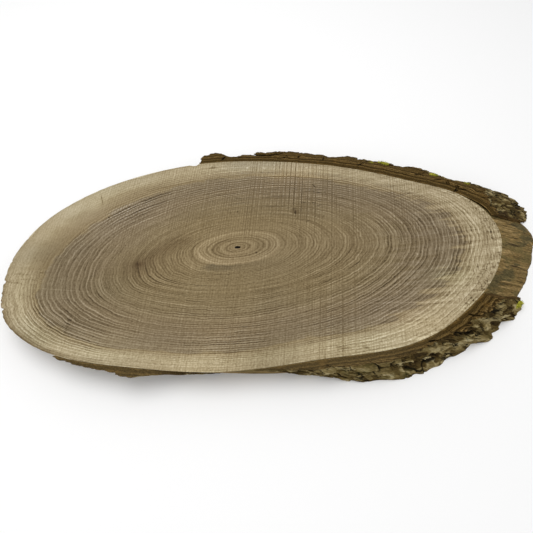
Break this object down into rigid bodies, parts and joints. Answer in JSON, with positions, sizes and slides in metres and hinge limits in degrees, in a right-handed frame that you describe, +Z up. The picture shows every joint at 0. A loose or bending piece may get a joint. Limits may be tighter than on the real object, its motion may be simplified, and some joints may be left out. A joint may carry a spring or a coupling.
{
  "type": "walnut wood slab",
  "caption": "Long oval slab sawn aslant through a walnut log, with growth rings round an off-centre pith, a pale sapwood rim and rough bark left on part of its leaning edge.",
  "frame": {"origin": "middle of the log's slanting section on the slab's flat underside", "axes": "+X along the slab's long axis, towards the end where the rim leans outwards below; +Y across the slab, towards the rim with the longest stretch of bark; +Z up, square to both sawn faces"},
  "size_m": [0.7946, 0.3931, 0.038],
  "materials": {
    "wood_slab": "sawn, dry, unfinished",
    "bark_back": "rough dry bark",
    "bark_front": "rough dry bark",
    "bark_side": "dry inner bark"
  },
  "bodies": {
    "root": {"wood_slab": "wood_slab", "bark_back": "bark_back", "bark_front": "bark_front", "bark_side": "bark_side"}
  },
  "joints": []
}
